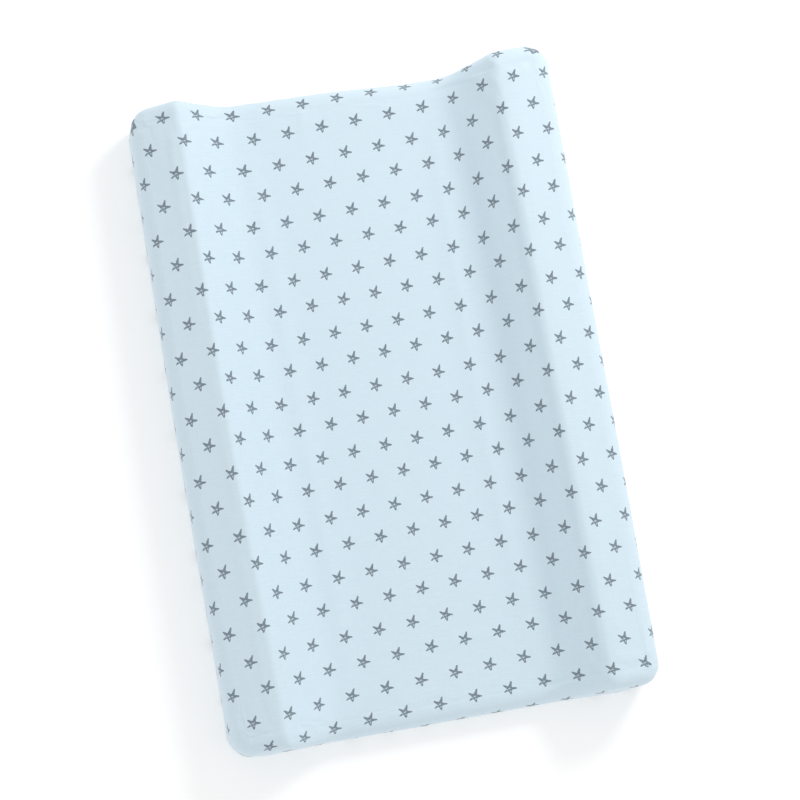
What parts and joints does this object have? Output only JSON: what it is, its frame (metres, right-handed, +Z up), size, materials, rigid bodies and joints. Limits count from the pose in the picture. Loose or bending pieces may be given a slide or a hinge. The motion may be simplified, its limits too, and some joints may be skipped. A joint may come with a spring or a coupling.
{
  "type": "baby changing mat",
  "caption": "Wedge changing mat for a baby: foam core with raised long sides, zipped waterproof liner and a fitted cotton cover with an elastic hem.",
  "frame": {"origin": "centre of the rectangle that the mat stands on, at the underside of the cover", "axes": "+Y along the mat to its head end, +X across it to the right, +Z up out of the lying area"},
  "size_m": [0.53, 0.8, 0.0974],
  "materials": {
    "foam": "matte",
    "liner_vinyl": "satin",
    "seam_tape": "satin",
    "cotton_print": "matte",
    "elastic": "matte",
    "label": "satin",
    "zip_tape": "matte",
    "zip_coil": "satin",
    "zip_metal": "satin"
  },
  "bodies": {
    "mat": {"foam_base": "foam", "foam_wedge_left": "foam", "foam_wedge_right": "foam", "liner_top": "liner_vinyl", "liner_bottom": "liner_vinyl", "liner_seam_tape": "seam_tape", "cotton_cover": "cotton_print", "hem_casing": "cotton_print", "hem_elastic": "elastic", "cover_corner_seams": "cotton_print", "care_label": "label", "zip_tape_front": "zip_tape", "zip_tape_rear": "zip_tape", "zip_coil_front": "zip_coil", "zip_coil_rear": "zip_coil", "zip_stops_closed": "zip_metal", "zip_stop_open": "zip_metal"},
    "slider": {"zip_slider": "zip_metal"},
    "pull_tab": {"zip_pull_tab": "zip_metal"}
  },
  "joints": [
    {"name": "zip_slide", "type": "slide", "parent": "mat", "child": "slider", "axis": [1, 0, 0], "range_m": [0, 0.318]},
    {"name": "pull_tab_swing", "type": "hinge", "parent": "slider", "child": "pull_tab", "pos_m": [-0.159, -0.25, 0.0022], "axis": [0, 1, 0], "range_deg": [0, 180]}
  ]
}
